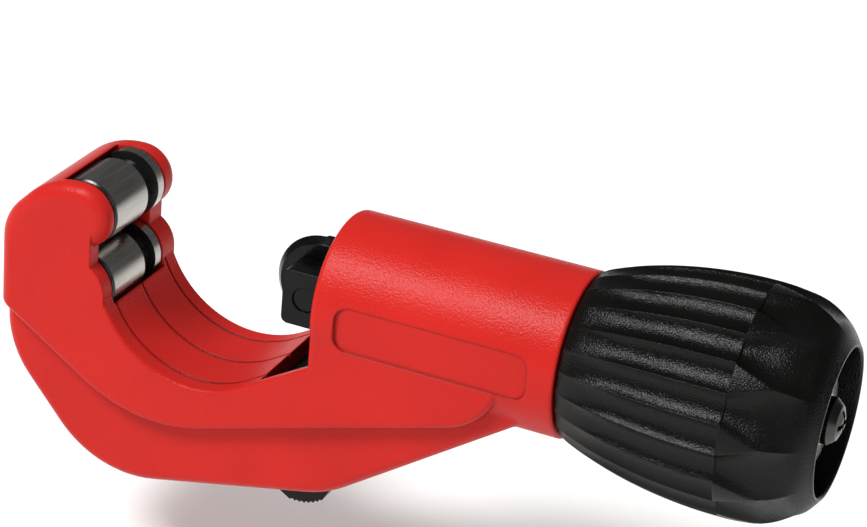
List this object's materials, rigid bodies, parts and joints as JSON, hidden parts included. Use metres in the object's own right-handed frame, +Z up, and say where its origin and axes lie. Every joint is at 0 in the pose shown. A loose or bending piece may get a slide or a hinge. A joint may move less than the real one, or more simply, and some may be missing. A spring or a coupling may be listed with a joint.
{
  "type": "pipe cutter",
  "caption": "Hand-held telescopic pipe cutter: C-shaped cast frame with a pair of guide rollers, a cutting wheel fed by a turning knob, and a fold-out deburring blade.",
  "frame": {"origin": "where the axis of a seated 28 mm tube crosses the feed spindle's axis, in the plane that the wheel cuts", "axes": "+X along the feed spindle towards the knob, +Y along the tube, away from the side with the blank panel, +Z up out of the open throat"},
  "size_m": [0.149, 0.0398, 0.0623],
  "materials": {
    "red_paint": "semi-gloss powder coat with a fine orange-peel texture",
    "black_steel": "satin black oxide",
    "black_steel_pin": "satin black oxide",
    "wheel_steel": "blackened tool steel with a ground edge",
    "spare_wheel_steel": "ground tool steel",
    "spring_steel": "dark spring steel",
    "spindle_steel": "turned steel, lightly oiled",
    "washer_steel": "hardened, ground",
    "nut_brass": "turned",
    "bush_brass": "turned",
    "ring_rubber": "matt",
    "knob_plastic": "satin, finely pebbled",
    "holder_plastic": "satin",
    "screw_steel": "bright zinc plate",
    "roller_steel": "ground and polished, hardened",
    "pin_steel": "ground",
    "pivot_steel": "zinc plate",
    "blade_steel": "ground spring steel",
    "rivet_steel": "plain"
  },
  "bodies": {
    "frame_body": {"frame": "red_paint", "end_bush": "bush_brass", "thrust_washer": "washer_steel", "friction_ring": "ring_rubber", "upper_roller_pin": "pin_steel", "lower_roller_pin": "pin_steel", "deburrer_pivot": "pivot_steel"},
    "knob_body": {"knob": "knob_plastic", "feed_spindle": "spindle_steel", "knob_screw": "screw_steel", "spare_wheel": "spare_wheel_steel"},
    "slide_body": {"slide": "black_steel", "spindle_nut": "nut_brass", "wheel_pin": "black_steel_pin", "wheel_pin_clip": "spring_steel"},
    "wheel_body": {"cutter_wheel": "wheel_steel"},
    "upper_roller_body": {"upper_roller": "roller_steel"},
    "lower_roller_body": {"lower_roller": "roller_steel"},
    "deburrer_body": {"deburrer_holder": "holder_plastic", "deburrer_blade": "blade_steel", "deburrer_rivets": "rivet_steel"}
  },
  "joints": [
    {"name": "knob_turn", "type": "hinge", "parent": "frame_body", "child": "knob_body", "pos_m": [0.09, 0, 0], "axis": [1, 0, 0], "range_deg": [-4300, 1290]},
    {"name": "slide_feed", "type": "slide", "parent": "frame_body", "child": "slide_body", "axis": [1, 0, 0], "range_m": [-0.0239, 0.0072]},
    {"name": "wheel_spin", "type": "hinge", "parent": "slide_body", "child": "wheel_body", "pos_m": [0.0223, 0, 0], "axis": [0, 1, 0], "continuous": true},
    {"name": "upper_roller_spin", "type": "hinge", "parent": "frame_body", "child": "upper_roller_body", "pos_m": [-0.0188, 0, 0.0068], "axis": [0, 1, 0], "continuous": true},
    {"name": "lower_roller_spin", "type": "hinge", "parent": "frame_body", "child": "lower_roller_body", "pos_m": [-0.0188, 0, -0.0068], "axis": [0, 1, 0], "continuous": true},
    {"name": "deburrer_fold", "type": "hinge", "parent": "frame_body", "child": "deburrer_body", "pos_m": [0.018, -0.0012, -0.0323], "axis": [0, -1, 0], "range_deg": [0, 120]}
  ],
  "couplings": [
    {"joint": "slide_feed", "follows": "knob_turn", "m_per_rad": 0.00031831}
  ]
}
